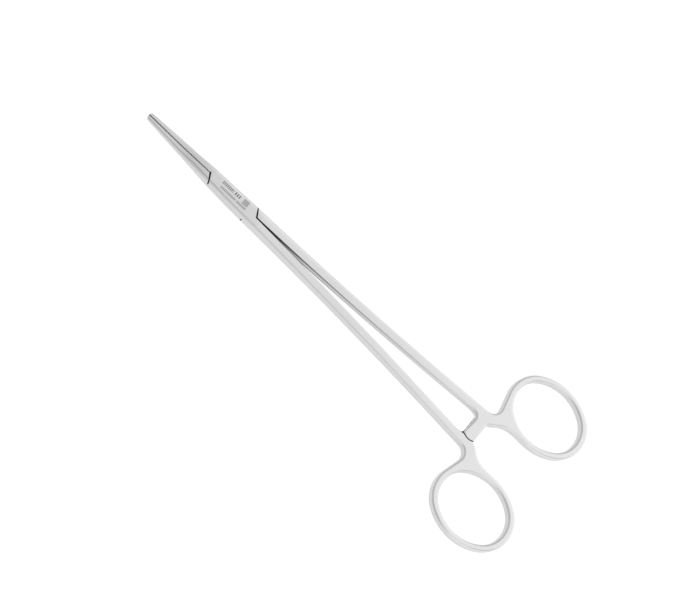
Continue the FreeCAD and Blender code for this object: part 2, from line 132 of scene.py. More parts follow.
class NodeGraph:
    """Builds the nodes of one material or world."""

    def __init__(self, tree: bpy.types.NodeTree) -> None:
        """Starts with an empty tree."""
        self.tree = tree
        self.tree.nodes.clear()

    def add(
        self, kind: str, settings: dict[str, Any] | None = None,
        inputs: dict[int | str, Value] | None = None, output: int | str = 0,
    ) -> Wire:
        """Adds a node of any kind.

        Args:
            kind: The node's type name.
            settings: Properties set before the sockets; "stops" holds a ramp's (place, level) pairs.
            inputs: Values or links by socket name or number.
            output: Name or number of the output that the result stands for.

        Returns:
            The chosen output socket, wrapped.
        """
        node = self.tree.nodes.new(kind)
        for name, value in (settings or {}).items():
            if name == "stops":
                self._stops(node.color_ramp, value)
            else:
                setattr(node, name, value)
        for key, value in (inputs or {}).items():
            if isinstance(value, Wire):
                self.tree.links.new(value.socket, node.inputs[key])
            else:
                node.inputs[key].default_value = value
        chosen = node.outputs[output] if len(node.outputs) else None
        return Wire(self, chosen)

    def mix(self, share: Wire, under: Value, over: Value) -> Wire:
        """The colour between two others, where a share of 0 gives the first and 1 the second."""
        return self.add("ShaderNodeMix", {"data_type": "RGBA"}, {0: share, 6: under, 7: over}, output=2)

    def axes(self, place: Wire) -> list[Wire]:
        """The x, y and z of a place in metres, each in mm."""
        return [self.add("ShaderNodeSeparateXYZ", {}, {0: place}, output=i) / MM for i in range(3)]

    @staticmethod
    def _stops(ramp: bpy.types.ColorRamp, stops: Sequence[tuple[float, float]]) -> None:
        """Sets the stops of a grey ramp.

        Args:
            ramp: The ramp.
            stops: Pairs of place and level.
        """
        while len(ramp.elements) < len(stops):
            ramp.elements.new(0.5)
        for element, (place, level) in zip(ramp.elements, stops):
            element.position = place
            element.color = (level, level, level, 1.0)


def opaque(colour: Sequence[float]) -> tuple[float, ...]:
    """A colour with its full opacity, as a socket takes it."""
    return (*colour, 1.0)


class Finish(IntEnum):
    """Which of a skin's two materials a face takes."""

    SATIN = 0
    # Milled faces: rougher, and painted dark as shade in the gaps and hollows.
    MILLED_PAINTED_SHADE = 1


class Grain(Enum):
    """How a steel surface was worked: the value is the grain's fineness along X against that across it."""

    BLASTED = 1.0
    GROUND = 0.12


@dataclass(frozen=True)
class StrokeRow:
    """One row of short plain strokes, in mm."""

    start: float
    end: float
    centre: float
    height: float
    pitch: float
    share: float = 0.46

    def mask(self, x: Wire, y: Wire) -> Wire:
        """Mask of the strokes: x repeats with the pitch inside the row's box, and its first share is dark.

        Args:
            x: Place along the cheek in mm.
            y: Place across the cheek in mm.

        Returns:
            1 on a stroke and 0 beside it.
        """
        inside = x.above(self.start) * x.below(self.end) * abs(y - self.centre).below(self.height / 2)
        return inside * ((x - self.start) % self.pitch).below(self.pitch * self.share)


@dataclass(frozen=True)
class MarkField:
    """Laser-darkened plain marks on the upper cheek: rows of strokes and a hatched square, in mm."""

    rows: tuple[StrokeRow, ...] = (
        StrokeRow(-5.2, -0.7, 1.05, 1.15, 0.62),
        StrokeRow(0.1, 2.6, 1.05, 1.15, 0.85),
        StrokeRow(-4.8, 1.5, -0.75, 0.75, 0.5),
        StrokeRow(2.1, 6.0, -0.75, 0.75, 0.5),
    )
    square_centre: tuple[float, float] = (4.7, 1.05)
    square_side: float = 2.2
    hatch_pitch: float = 0.5
    hatch_share: float = 0.5
    top_height: float = 4.55
    colour: tuple[float, float, float] = (0.07, 0.07, 0.075)
    depth: float = 0.85
    roughening: float = 0.25

    def mask(self, graph: NodeGraph, place: Wire) -> Wire:
        """Mask of the marks: every row's strokes, and a repeat of x + y inside the square.

        Args:
            graph: The material's graph.
            place: Object coordinates in metres.

        Returns:
            1 on a mark and 0 beside it.
        """
        x, y, z = graph.axes(place)
        strokes = sum(row.mask(x, y) for row in self.rows)
        across = x - self.square_centre[0]
        up = y - self.square_centre[1]
        square = abs(across).below(self.square_side / 2) * abs(up).below(self.square_side / 2)
        hatch = ((across + up) % self.hatch_pitch).below(self.hatch_pitch * self.hatch_share)
        return (strokes + square * hatch).clipped() * z.above(self.top_height)


@dataclass(frozen=True)
class PaintedGapShade:
    """Painted shade on the faces between the two shanks next to the box, in mm.

    Places along X are counted from the pivot. The whole faces are dark up to full and fade out by end, and
    their upper and lower edges fade out by edge_end. An edge begins edge_low from the middle height and is
    dark edge_run further out. The faces' inner line leaves half_gap at the root, with a slope and a curve,
    and the dark reaches a lip beyond it.
    """

    middle: float
    root: float
    half_gap: float
    slope: float
    curve: float
    start: float = 10.4
    full: float = 18.0
    end: float = 33.0
    edge_end: float = 104.0
    edge_low: float = 0.75
    edge_run: float = 0.4
    lip: float = 0.09
    # Colour and strength of the painted shade.
    colour: tuple[float, float, float] = (0.03, 0.03, 0.032)
    depth: float = 0.88

    def mask(self, graph: NodeGraph, place: Wire) -> Wire:
        """Share of painted shade: inside a parabola that follows the shanks' inner lines, fading along the
        shanks.

        Past the narrow root only the upper and lower edges of the inner faces keep painted dark lines.

        Args:
            graph: The material's graph.
            place: Object coordinates in metres.

        Returns:
            Up to the full depth on the inner faces and 0 elsewhere.
        """
        x, y, z = graph.axes(place)
        past = (x - self.root).largest(0.0)
        line = past * self.slope + past * past * self.curve + (self.half_gap + self.lip)
        root = (1 - (x - self.full) / (self.end - self.full)).clipped()
        edge = ((abs(z - self.middle) - self.edge_low) / self.edge_run).clipped()
        fade = root.largest(edge * (1 - (x - self.full) / (self.edge_end - self.full)).clipped())
        return (line - abs(y)).above(0.0) * x.above(self.start) * fade * self.depth


@dataclass(frozen=True)
class SatinSteel:
    """Stainless steel with a fine matt finish; the grain's pitch and height are in mm."""

    name: str
    colour: tuple[float, float, float] = (0.74, 0.74, 0.745)
    shade: float = 0.06
    drift_scale: float = 90.0
    drift_detail: float = 2.0
    roughness: float = 0.30
    roughness_swing: float = 0.06
    grain: Grain = Grain.BLASTED
    grain_pitch: float = 0.16
    grain_height: float = 0.0012
    grain_detail: float = 3.0
    marks: MarkField | None = None
    gap_shade: PaintedGapShade | None = None

    def _stretch(self) -> tuple[float, float, float]:
        """Cells of the grain to the metre, along each axis."""
        fine = 1 / (self.grain_pitch * MM)
        return (fine * self.grain.value, fine, fine)

    def build(self) -> bpy.types.Material:
        """Makes the material.

        Returns:
            A metal whose colour drifts slowly, whose roughness varies, and whose bump is the finish's grain.
        """
        material = bpy.data.materials.new(self.name)
        material.use_nodes = True
        graph = NodeGraph(material.node_tree)
        place = graph.add("ShaderNodeTexCoord", output="Object")
        drift = graph.add(
            "ShaderNodeTexNoise", {},
            {"Vector": place, "Scale": self.drift_scale, "Detail": self.drift_detail})
        stretched = graph.add("ShaderNodeMapping", {}, {"Vector": place, "Scale": self._stretch()})
        grain = graph.add(
            "ShaderNodeTexNoise", {}, {"Vector": stretched, "Scale": 1.0, "Detail": self.grain_detail})
        dim = [level * (1 - self.shade) for level in self.colour]
        colour = graph.mix(drift, opaque(dim), opaque(self.colour))
        swing = (drift - 0.5) * self.roughness_swing
        rough: Wire = self.roughness + swing + (grain - 0.5) * self.roughness_swing
        # Painted shade between the shanks darkens the colour here.
        if self.gap_shade is not None:
            colour = graph.mix(self.gap_shade.mask(graph, place), colour, opaque(self.gap_shade.colour))
        if self.marks is not None:
            mask = self.marks.mask(graph, place)
            colour = graph.mix(mask * self.marks.depth, colour, opaque(self.marks.colour))
            rough = rough + mask * self.marks.roughening
        bump = graph.add(
            "ShaderNodeBump", {}, {"Strength": 1.0, "Distance": self.grain_height * MM, "Height": grain})
        shader = graph.add(
            "ShaderNodeBsdfPrincipled", {},
            {"Base Color": colour, "Metallic": 1.0, "Roughness": rough, "Normal": bump})
        graph.add("ShaderNodeOutputMaterial", {}, {"Surface": shader})
        return material


@dataclass(frozen=True)
class ClosedForm:
    """Outer form of the closed jaws and the box, in mm, with places along X counted from the pivot.

    The thickness swells toward the box: steady_share of it comes evenly, and the rest in one soft step
    that begins at swell_start and takes swell_length of the jaw. Roundings are shares of half the
    thickness. They change from the jaws' to the box's from rounding_run of the jaw on, and stay within
    rounding_limit of the section's smaller half. The closed jaws lean by set_angle, in degrees. The nose
    has one radius in plan and one from the side. Behind the box the thickness falls to the handle's over
    taper_length.
    """

    middle: float = 2.3
    tip_reach: float = 37.6
    box_thickness: float = 4.6
    box_front: float = 9.0
    box_rear: float = 12.0
    front_width: float = 5.9
    rear_width: float = 7.04
    tip_width: float = 2.76
    tip_thickness: float = 1.64
    jaw_rounding: float = 0.97
    box_rounding: float = 0.70
    rounding_run: float = 0.65
    steady_share: float = 0.62
    swell_start: float = 0.45
    swell_length: float = 0.5
    rounding_limit: float = 0.97
    set_angle: float = 1.07
    nose_radius: float = 1.05
    nose_side_radius: float = 0.55
    handle_thickness: float = 3.5
    taper_length: float = 42.0
    corner_steps: int = 8
    nose_steps: int = 10
    station_step: float = 0.8

    def middle_y(self, x: np.ndarray) -> np.ndarray:
        """Height of the line between the two arms: level at the shanks, leaning along the jaws."""
        return np.maximum(-x, 0.0) * math.tan(math.radians(self.set_angle))

    def half_width(self, x: np.ndarray) -> np.ndarray:
        """Half the width in plan: one parabola through the tip, the jaw root and the box's rear.

        Args:
            x: Places along X.

        Returns:
            Half the width at each place.
        """
        jaw = self.tip_reach - self.box_front
        tip_slope = (self.front_width - self.tip_width) / 2 / jaw
        box_slope = (self.rear_width - self.front_width) / 2 / (self.box_front + self.box_rear)
        bend = (box_slope - tip_slope) / (self.tip_reach + self.box_rear)
        run = x + self.tip_reach
        return self.tip_width / 2 + tip_slope * run + bend * run * (x + self.box_front)

    def half_thickness(self, x: np.ndarray) -> np.ndarray:
        """Half the thickness: a steady rise and a soft step to the box, then a parabola down to the handle.

        Args:
            x: Places along X.

        Returns:
            Half the thickness at each place.
        """
        tip, box, handle = self.tip_thickness / 2, self.box_thickness / 2, self.handle_thickness / 2
        along = np.minimum((x + self.tip_reach) / (self.tip_reach - self.box_front), 1.0)
        swell = soft_step((along - self.swell_start) / self.swell_length)
        front = tip + (box - tip) * (self.steady_share * along + (1 - self.steady_share) * swell)
        left = np.clip(1 - (x - self.box_rear) / self.taper_length, 0.0, 1.0)
        return np.where(x > self.box_rear, handle + (box - handle) * left**2, front)

    def edge_radius(self, x: np.ndarray) -> np.ndarray:
        """Radius of the long edges: a share of half the thickness that falls softly from jaws to box.

        Args:
            x: Places along X.

        Returns:
            The radius at each place.
        """
        along = (x + self.tip_reach) / (self.tip_reach - self.box_front)
        blend = soft_step((along - self.rounding_run) / (1 - self.rounding_run))
        share = self.jaw_rounding + (self.box_rounding - self.jaw_rounding) * blend
        return share * self.half_thickness(x)

    def stations(self) -> np.ndarray:
        """Places of the cross sections: close together round the nose, then evenly spaced to the box's rear.

        Returns:
            Places along X, from the tip to the box's rear.
        """
        turn = np.linspace(0.0, math.pi / 2, self.nose_steps + 1)
        nose = self.nose_radius * (1 - np.cos(turn)) - self.tip_reach
        count = int((self.box_rear - nose[-1]) / self.station_step)
        return np.concatenate([nose, np.linspace(nose[-1], self.box_rear, count + 1)[1:]])

    def shell(self) -> "Shell":
        """Closed skin of the jaws and the box.

        Each station carries one ring of four quarter circles. Near the tip the ring's half width and half
        thickness follow two circles, one in plan and one from the side, which makes the rounded nose.

        Returns:
            A grid of stations by ring points, closed round the ring and capped at both ends.
        """
        x = self.stations()
        past = np.minimum(x + self.tip_reach, self.nose_radius)
        in_plan = self.nose_radius - np.sqrt(self.nose_radius**2 - (self.nose_radius - past) ** 2)
        side = self.nose_side_radius
        past = np.minimum(past, side)
        from_side = side - np.sqrt(side**2 - (side - past) ** 2)
        wide = self.half_width(x) - in_plan
        deep = self.half_thickness(x) - from_side
        radius = np.minimum(self.edge_radius(x), np.minimum(wide, deep) * self.rounding_limit)
        angles = np.linspace(0.0, math.pi / 2, self.corner_steps + 1)
        quarter = np.concatenate([angles + start * math.pi / 2 for start in range(4)])
        side_y = np.repeat([1.0, -1.0, -1.0, 1.0], len(angles))
        side_z = np.repeat([1.0, 1.0, -1.0, -1.0], len(angles))
        y = self.middle_y(x)[:, None] + side_y * (wide - radius)[:, None] + np.cos(quarter) * radius[:, None]
        z = self.middle + side_z * (deep - radius)[:, None] + np.sin(quarter) * radius[:, None]
        shell = Shell()
        rows = shell.grid(np.stack([np.broadcast_to(x[:, None], y.shape), y, z], axis=-1), closed=True)
        shell.face(rows[0])
        shell.face(rows[-1])
        return shell


def soft_step(value: np.ndarray) -> np.ndarray:
    """Rises from 0 to 1 with level ends as value goes from 0 to 1."""
    share = np.clip(value, 0.0, 1.0)
    return share * share * (3 - 2 * share)


def arc(centre: Sequence[float], radius: float, start: float, stop: float, count: int) -> np.ndarray:
    """Points on a plan arc, from one angle to another in degrees.

    Args:
        centre: Its centre.
        radius: Its radius.
        start: First angle.
        stop: Last angle.
        count: Number of steps.

    Returns:
        count + 1 points.
    """
    turn = np.radians(np.linspace(start, stop, count + 1))
    return np.stack([centre[0] + radius * np.cos(turn), centre[1] + radius * np.sin(turn)], axis=-1)


def inward(loop: np.ndarray) -> np.ndarray:
    """Offset directions into a plan loop that runs counter-clockwise.

    The direction at a point is the sum of its two edges' left normals over one plus their dot product,
    so that a unit offset moves both edges by one.

    Args:
        loop: Plan points.

    Returns:
        One direction for each point.
    """
    edges = np.roll(loop, -1, axis=0) - loop
    edges /= np.linalg.norm(edges, axis=1)[:, None]
    normals = np.stack([-edges[:, 1], edges[:, 0]], axis=-1)
    before = np.roll(normals, 1, axis=0)
    return (normals + before) / (1 + (normals * before).sum(axis=1))[:, None]


class Shell:
    """Points and faces of one skin, in mm."""

    def __init__(self) -> None:
        """Starts empty."""
        self.points = np.zeros((0, 3))
        self.faces: list[list[int]] = []
        self.slots: list[int] = []

    def add(self, points: np.ndarray) -> np.ndarray:
        """Adds points.

        Args:
            points: Any array whose last axis is x, y, z.

        Returns:
            Their numbers, in the same arrangement.
        """
        first = len(self.points)
        self.points = np.concatenate([self.points, points.reshape(-1, 3)])
        return np.arange(first, len(self.points)).reshape(points.shape[:-1])

    def join(self, numbers: np.ndarray, closed: bool = False, slot: Finish = Finish.SATIN) -> None:
        """Quads between neighbours of a grid of point numbers.

        Args:
            numbers: Rows by columns.
            closed: Whether the last column joins the first.
            slot: The material slot of the quads.
        """
        if closed:
            numbers = np.concatenate([numbers, numbers[:, :1]], axis=1)
        quads = np.stack([numbers[:-1, :-1], numbers[:-1, 1:], numbers[1:, 1:], numbers[1:, :-1]], axis=-1)
        self._keep(quads.reshape(-1, 4).tolist(), slot)

    def _keep(self, faces: list[list[int]], slot: Finish) -> None:
        """Adds faces that share one material slot."""
        self.faces += faces
        self.slots += [slot] * len(faces)

    def grid(self, points: np.ndarray, closed: bool = False, slot: Finish = Finish.SATIN) -> np.ndarray:
        """Adds a grid of points with its quads.

        Args:
            points: Rows by columns by x, y, z.
            closed: Whether the last column joins the first.
            slot: The material slot of the quads.

        Returns:
            The point numbers, rows by columns.
        """
        numbers = self.add(points)
        self.join(numbers, closed, slot)
        return numbers

    def face(self, numbers: np.ndarray, slot: Finish = Finish.SATIN) -> None:
        """One face over a ring of point numbers."""
        self._keep([numbers.tolist()], slot)

    def fill(self, *loops: np.ndarray, slot: Finish = Finish.SATIN) -> None:
        """Triangles over a flat region.

        Args:
            loops: Point numbers of the outer ring and of any inner rings.
            slot: The material slot of the triangles.
        """
        numbers = np.concatenate(loops)
        triangles = tessellate_polygon([self.points[loop].tolist() for loop in loops])
        self._keep(numbers[np.array(triangles)].tolist(), slot)

    def to_object(self, name: str, steels: Sequence[bpy.types.Material]) -> bpy.types.Object:
        """Makes the skin a Blender object, in metres.

        Args:
            name: The object's name.
            steels: The materials in slot order.

        Returns:
            The object, its doubled points merged and its faces outward.
        """
        mesh = bpy.data.meshes.new(name)
        mesh.from_pydata((self.points * MM).tolist(), [], self.faces)
        for material in steels:
            mesh.materials.append(material)
        mesh.polygons.foreach_set("material_index", np.array(self.slots, dtype=np.int32))
        work = bmesh.new()
        work.from_mesh(mesh)
        bmesh.ops.remove_doubles(work, verts=work.verts, dist=MERGE_DISTANCE)
        bmesh.ops.dissolve_degenerate(work, edges=work.edges, dist=MERGE_DISTANCE)
        bmesh.ops.recalc_face_normals(work, faces=work.faces)
        work.to_mesh(mesh)
        work.free()
        made = bpy.data.objects.new(name, mesh)
        bpy.context.scene.collection.objects.link(made)
        return made


def prism(outline: np.ndarray, low: float, high: float) -> Shell:
    """Straight-sided block over a plan outline; what it cuts is left milled and painted dark as shade.

    Args:
        outline: Plan points.
        low: Height of its lower face.
        high: Height of its upper face.

    Returns:
        The closed skin.
    """
    shell = Shell()
    levels = [np.column_stack([outline, np.full(len(outline), level)]) for level in (low, high)]
    rings = shell.grid(np.stack(levels), closed=True, slot=Finish.MILLED_PAINTED_SHADE)
    for ring in rings:
        shell.fill(ring, slot=Finish.MILLED_PAINTED_SHADE)
    return shell


def turned(profile: np.ndarray, steps: int, slot: Finish = Finish.MILLED_PAINTED_SHADE) -> Shell:
    """Body of revolution about the pivot axis.

    Args:
        profile: Radius and height of each ring; the first and last rings are capped.
        steps: Points round each ring.
        slot: The material slot of every face.

    Returns:
        The closed skin.
    """
    turn = np.linspace(0.0, 2 * math.pi, steps, endpoint=False)
    radius, height = profile[:, :1], profile[:, 1:]
    shape = (len(profile), steps)
    points = [radius * np.cos(turn), radius * np.sin(turn), np.broadcast_to(height, shape)]
    shell = Shell()
    rings = shell.grid(np.stack(points, axis=-1), closed=True, slot=slot)
    shell.face(rings[0], slot)
    shell.face(rings[-1], slot)
    return shell


class Join(Enum):
    """How two solids are combined."""

    ADD = "UNION"
    CUT = "DIFFERENCE"
    KEEP = "INTERSECT"


def combine(target: bpy.types.Object, join: Join, *tools: bpy.types.Object) -> None:
    """Combines an object with others exactly; the others are used up.

    Args:
        target: The object that takes the result.
        join: The way of combining.
        tools: The other objects.
    """
    for tool in tools:
        modifier = target.modifiers.new("combine", "BOOLEAN")
        modifier.operation = join.value
        modifier.solver = "EXACT"
        modifier.object = tool
        graph = bpy.context.evaluated_depsgraph_get()
        mesh = bpy.data.meshes.new_from_object(target.evaluated_get(graph))
        target.modifiers.clear()
        old = target.data
        target.data = mesh
        bpy.data.meshes.remove(old)
        bpy.data.meshes.remove(tool.data)


@dataclass(frozen=True)
class Crossing:
    """Everything that parts the closed form into two arms, in mm.

    Two serrated lines, mating_gap apart, part the jaws: teeth of one pitch and depth with flat crests stop
    root_relief ahead of the box. Each end of the cheeks slants from bend_reach at the middle to end_reach
    at the side, and the front bend lies rise off the jaws' line. The mortise is slot_height high and has
    round ends of slot_radius about the pivot. The neck stays neck_side and neck_face inside it and runs
    neck_overlap into the jaw and the shank root. The pin has a shaft, and at each end a cone out to
    head_radius over head_depth. Its clearance is running in the neck and fit in the cheeks. Outlines run on
    past the form by reach, and cutting blocks by the two overruns.
    """

    form: ClosedForm = ClosedForm()
    pitch: float = 0.7
    depth: float = 0.36
    crest: float = 0.32
    root_relief: float = 2.4
    mating_gap: float = 0.25
    bend_reach: float = 10.25
    end_reach: float = 8.15
    rise: float = 0.3
    shoulder_gap: float = 0.5
    shank_gap: float = 0.38
    slot_height: float = 1.7
    slot_radius: float = 8.15
    neck_side: float = 0.35
    neck_overlap: float = 0.2
    neck_face: float = 0.05
    pin_radius: float = 1.1
    running: float = 0.03
    head_radius: float = 1.45
    head_depth: float = 0.35
    fit: float = 0.004
    reach: float = 20.0
    overrun: float = 1.0
    hole_overrun: float = 0.5
    round_steps: int = 64
    arc_steps: int = 40

    @property
    def low(self) -> float:
        """Height under the box that every cutting block starts from."""
        return -self.overrun

    @property
    def high(self) -> float:
        """Height over the box that every cutting block reaches."""
        return self.form.box_thickness + self.overrun

    @property
    def line_end(self) -> float:
        """Where the serrated line stops, ahead of the pivot."""
        return self.form.box_front + self.root_relief - self.pitch / 2

    def tooth_line(self, shift: float, crest_side: int) -> np.ndarray:
        """Serrated line from beyond the tip to the box.

        Places are half a pitch apart along the leaning jaw line and swing from side to side. Every place
        on the crest side is doubled, half a crest each way, and lowered to where the tooth is that wide.

        Args:
            shift: How far the line is moved sideways.
            crest_side: 1 or -1, the side that is cut flat.

        Returns:
            Plan points from beyond the tip to the box.
        """
        start = self.form.box_front + self.root_relief
        count = int((self.form.tip_reach - start) / self.pitch)
        index = np.arange(2 * count, -1, -1)
        side = np.where(index % 2 == 1, 1, -1)
        flat = np.where(side == crest_side, self.crest / 2, 0.0)
        height = side * (self.depth / 2 - flat * 2 * self.depth / self.pitch) + shift
        along = start + index * self.pitch / 2
        both = np.stack([along + flat, along - flat], axis=-1).ravel()
        across = np.repeat(height, 2)
        keep = np.repeat(side == crest_side, 2) | (np.arange(len(both)) % 2 == 0)
        both, across = both[keep], across[keep]
        lean = math.radians(self.form.set_angle)
        x = -both * math.cos(lean) + across * math.sin(lean)
        y = both * math.sin(lean) + across * math.cos(lean)
        first = (-self.form.tip_reach - self.reach, self.middle_at(-self.form.tip_reach) + shift)
        last = (-self.line_end, self.middle_at(-self.line_end) + shift)
        return np.concatenate([[first], np.column_stack([x, y]), [last]])

    def middle_at(self, x: float) -> float:
        """Height of the line between the arms at one place."""
        return float(self.form.middle_y(np.array(x)))

    def cheek_edge(self, bend_y: float, gap: float, end: int) -> np.ndarray:
        """Slanting edge of the cheeks, from its bend to beyond the side of the box.

        Args:
            bend_y: Height of the bend.
            gap: How far the edge is moved away from the pivot.
            end: -1 for the front and 1 for the rear.

        Returns:
            Two plan points.
        """
        bend = np.array([end * (self.bend_reach + gap), bend_y])
        wide = float(self.form.half_width(np.array(end * self.end_reach)))
        side = np.array([end * (self.end_reach + gap), end * wide])
        return np.stack([bend, 2 * side - bend])

    def front_bend(self, gap: float) -> float:
        """Height where the jaw line turns into the cheeks' front edge."""
        return self.middle_at(-self.bend_reach) + self.rise * (1 - gap / (self.line_end - self.bend_reach))

    def female_plan(self) -> np.ndarray:
        """Plan of all that the female arm keeps.

        Returns:
            The outline's points.
        """
        half = self.mating_gap / 2
        front = self.cheek_edge(self.front_bend(0.0) + half, 0.0, -1)
        rear = self.cheek_edge(-self.shank_gap / 2, 0.0, 1)
        past = self.form.box_rear + self.reach
        return np.concatenate([
            [(-self.form.tip_reach - self.reach, self.reach)], self.tooth_line(half, -1), front,
            [(front[1][0], -self.reach), (past, -self.reach), (past, -self.shank_gap / 2)], rear,
            [(rear[1][0], self.reach)],
        ])

    def male_plans(self) -> tuple[np.ndarray, np.ndarray]:
        """Plans of the male jaw and of the male shank's root.

        Returns:
            The two outlines' points.
        """
        half = self.mating_gap / 2
        front = self.cheek_edge(self.front_bend(self.shoulder_gap) - half, self.shoulder_gap, -1)
        rear = self.cheek_edge(self.shank_gap / 2, self.shoulder_gap, 1)
        past = self.form.box_rear + self.reach
        jaw = np.concatenate([
            [(-self.form.tip_reach - self.reach, -self.reach)], self.tooth_line(-half, 1), front,
            [(front[1][0], -self.reach)],
        ])
        root = np.concatenate([
            rear[::-1], [(past, self.shank_gap / 2), (past, self.reach), (rear[1][0], self.reach)],
        ])
        return jaw, root

    def neck_plan(self, radius: float, gap: float) -> np.ndarray:
        """Plan of the crossing: a disc about the pivot, opened toward the male jaw and the male shank.

        Args:
            radius: The disc's radius.
            gap: How far both openings stay from the line between the arms.

        Returns:
            The outline, counter-clockwise from the front opening.
        """
        past = self.bend_reach + self.shoulder_gap + self.neck_overlap
        lean = math.degrees(math.asin((self.middle_at(-radius) - gap) / radius))
        rise = math.degrees(math.asin(gap / radius))
        return np.concatenate([
            [(-past, -self.reach), (0.0, -self.reach)],
            arc((0, 0), radius, -90, rise, self.arc_steps),
            [(past, gap), (past, self.reach), (0.0, self.reach)],
            arc((0, 0), radius, 90, 180 - lean, self.arc_steps),
            [(-past, self.middle_at(-past) - gap)],
        ])

    def pin_profile(self, gap: float, past: float) -> np.ndarray:
        """Profile of the pin.

        Args:
            gap: How far it lies outside the pin itself.
            past: How far it runs on past both faces of the box.

        Returns:
            Radius and height of each ring, upwards.
        """
        top = self.form.box_thickness
        shaft, head = self.pin_radius + gap, self.head_radius + gap
        return np.array([
            (head, -past), (head, 0.0), (shaft, self.head_depth), (shaft, top - self.head_depth), (head, top),
            (head, top + past),
        ])

    def female(self, steels: Sequence[bpy.types.Material]) -> bpy.types.Object:
        """The female jaw and both cheeks, with the mortise and the pin's hole cut through.

        Args:
            steels: The materials in slot order.

        Returns:
            The skin, closed at the box's rear by a cap.
        """
        middle, half = self.form.middle, self.slot_height / 2
        made = self.form.shell().to_object("female_arm_skin", steels)
        keep = prism(self.female_plan(), self.low, self.high)
        combine(made, Join.KEEP, keep.to_object("keep", steels))
        slot = prism(self.neck_plan(self.slot_radius, -self.mating_gap / 2), middle - half, middle + half)
        hole = turned(self.pin_profile(self.fit, self.hole_overrun), self.round_steps)
        combine(made, Join.CUT, slot.to_object("slot", steels), hole.to_object("hole", steels))
        return made

    def male(self, steels: Sequence[bpy.types.Material]) -> bpy.types.Object:
        """The male jaw and shank root, joined by the thin neck, with the pin's bore.

        Args:
            steels: The materials in slot order.

        Returns:
            The skin, closed at the box's rear by a cap.
        """
        middle, half = self.form.middle, self.slot_height / 2 - self.neck_face
        neck = self.neck_plan(self.slot_radius - self.neck_side, self.mating_gap / 2)
        jaw, root = (
            prism(plan, self.low, self.high).to_object("keep", steels) for plan in self.male_plans())
        keep = prism(neck, middle - half, middle + half).to_object("neck", steels)
        combine(keep, Join.ADD, jaw, root)
        made = self.form.shell().to_object("male_arm_skin", steels)
        combine(made, Join.KEEP, keep)
        radius = self.pin_radius + self.running
        bore = turned(np.array([(radius, self.low), (radius, self.high)]), self.round_steps)
        combine(made, Join.CUT, bore.to_object("bore", steels))
        return made

    def pin(self, steels: Sequence[bpy.types.Material]) -> bpy.types.Object:
        """The pin itself, its two ends flush with the cheeks."""
        profile = self.pin_profile(0.0, 0.0)[1:-1]
        return turned(profile, self.round_steps, Finish.SATIN).to_object("pivot_pin_skin", steels)


@dataclass(frozen=True)
class Seat:
    """Where a handle carries its tongue, in mm, and the radius of the handle's own edges.

    The near root runs into the side at near_y and the far root into the side at far_y. The handle's middle
    and top are heights.
    """

    x: float
    near_y: float
    far_y: float
    middle: float
    top: float
    edge: float


